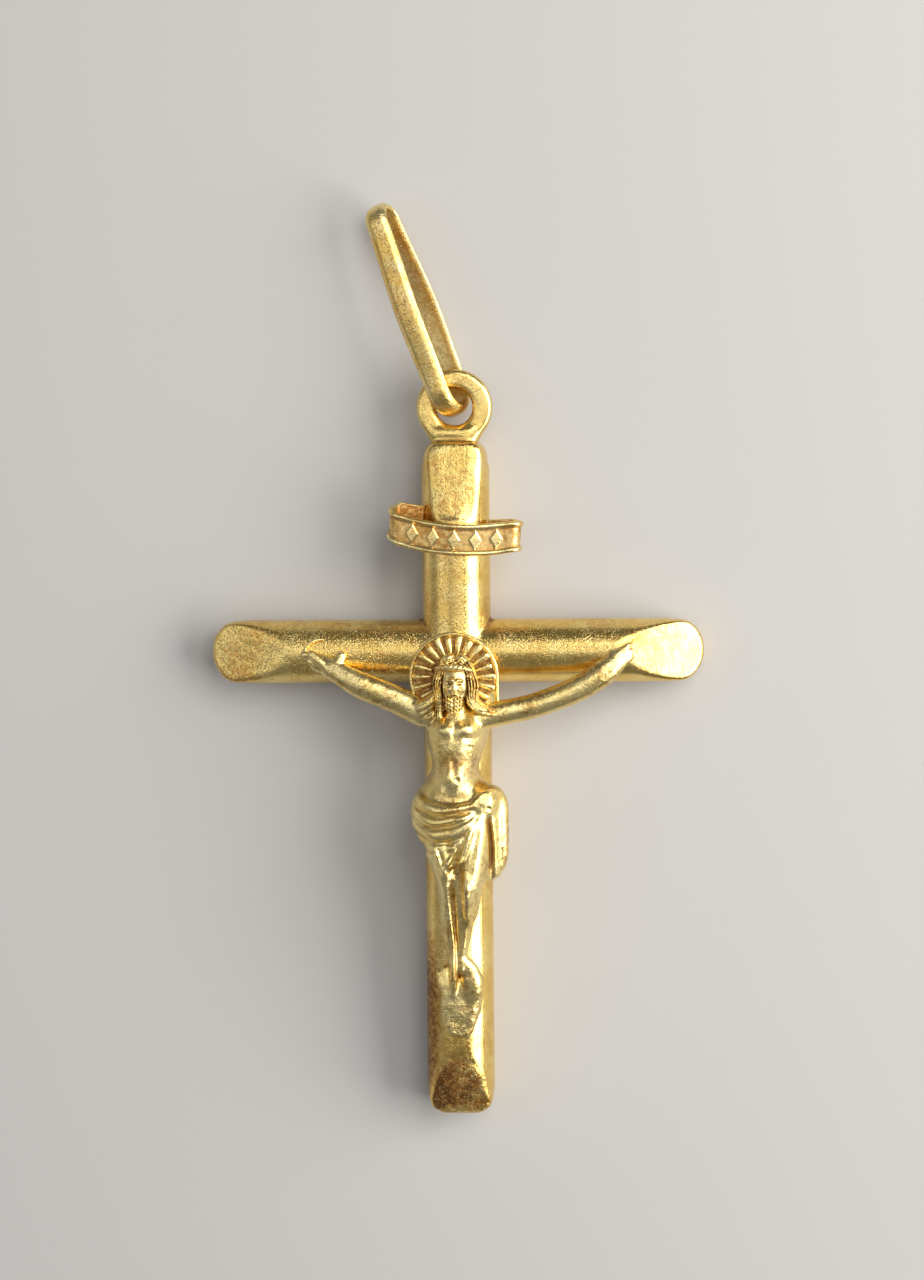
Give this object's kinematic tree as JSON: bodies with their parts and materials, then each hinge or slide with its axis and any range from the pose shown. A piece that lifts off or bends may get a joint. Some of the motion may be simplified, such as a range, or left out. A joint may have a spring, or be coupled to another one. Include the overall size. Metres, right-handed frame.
{
  "type": "crucifix pendant",
  "caption": "Round-bar gold crucifix pendant with a cast figure, a curled title plate and a long swinging bail for a fine chain.",
  "frame": {"origin": "on the surface that the pendant lies on, under the middle of its bounding box", "axes": "+Y along the upright towards the bail, +X along the crossbar to the right as seen from the front, +Z from the back to the front"},
  "size_m": [0.02, 0.0373, 0.0046],
  "materials": {
    "gold_bar": "worn polished yellow gold with fine scratches and grainy facets",
    "gold_cast": "cast yellow gold, polished on the high places and dark in the recesses",
    "gold_plate": "polished yellow gold with a dark sunk ground",
    "gold_band": "worn polished yellow gold band, dull on its outside"
  },
  "bodies": {
    "cross_body": {"cross": "gold_bar", "corpus": "gold_cast", "title_scroll": "gold_plate"},
    "bail_body": {"bail": "gold_band"}
  },
  "joints": [
    {"name": "bail_swing", "type": "hinge", "parent": "cross_body", "child": "bail_body", "pos_m": [-0.0004, 0.01132, 0.00138], "axis": [0.8679, 0.3262, 0.3746], "range_deg": [-120, 120]}
  ]
}
